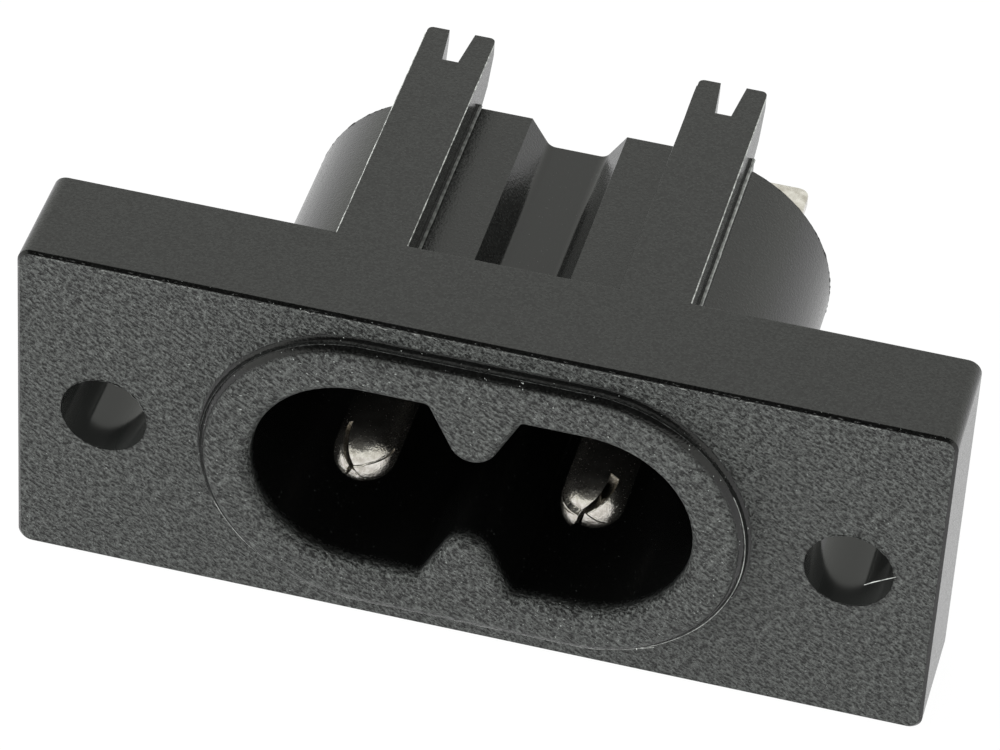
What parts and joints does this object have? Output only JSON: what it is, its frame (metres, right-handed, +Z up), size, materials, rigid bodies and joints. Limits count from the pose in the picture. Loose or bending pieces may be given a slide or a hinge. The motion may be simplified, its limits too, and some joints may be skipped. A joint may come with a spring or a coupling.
{
  "type": "iec panel inlet",
  "caption": "Two-pin figure-eight appliance inlet with a screw flange, a raised pad round the socket, forked arms on top and solder tags behind.",
  "frame": {"origin": "midway between the two screw holes, on the flat front face of the flange", "axes": "+X along the flange to the right as the plug sees it, +Y into the equipment, +Z up towards the forked arms"},
  "size_m": [0.0346, 0.0214, 0.0142],
  "materials": {
    "moulding": "dark grey glass-filled nylon, finely spark-grained",
    "plated_contact": "bright nickel-plated brass strip"
  },
  "bodies": {
    "root": {"housing": "moulding", "contact_left": "plated_contact", "contact_right": "plated_contact"}
  },
  "joints": []
}
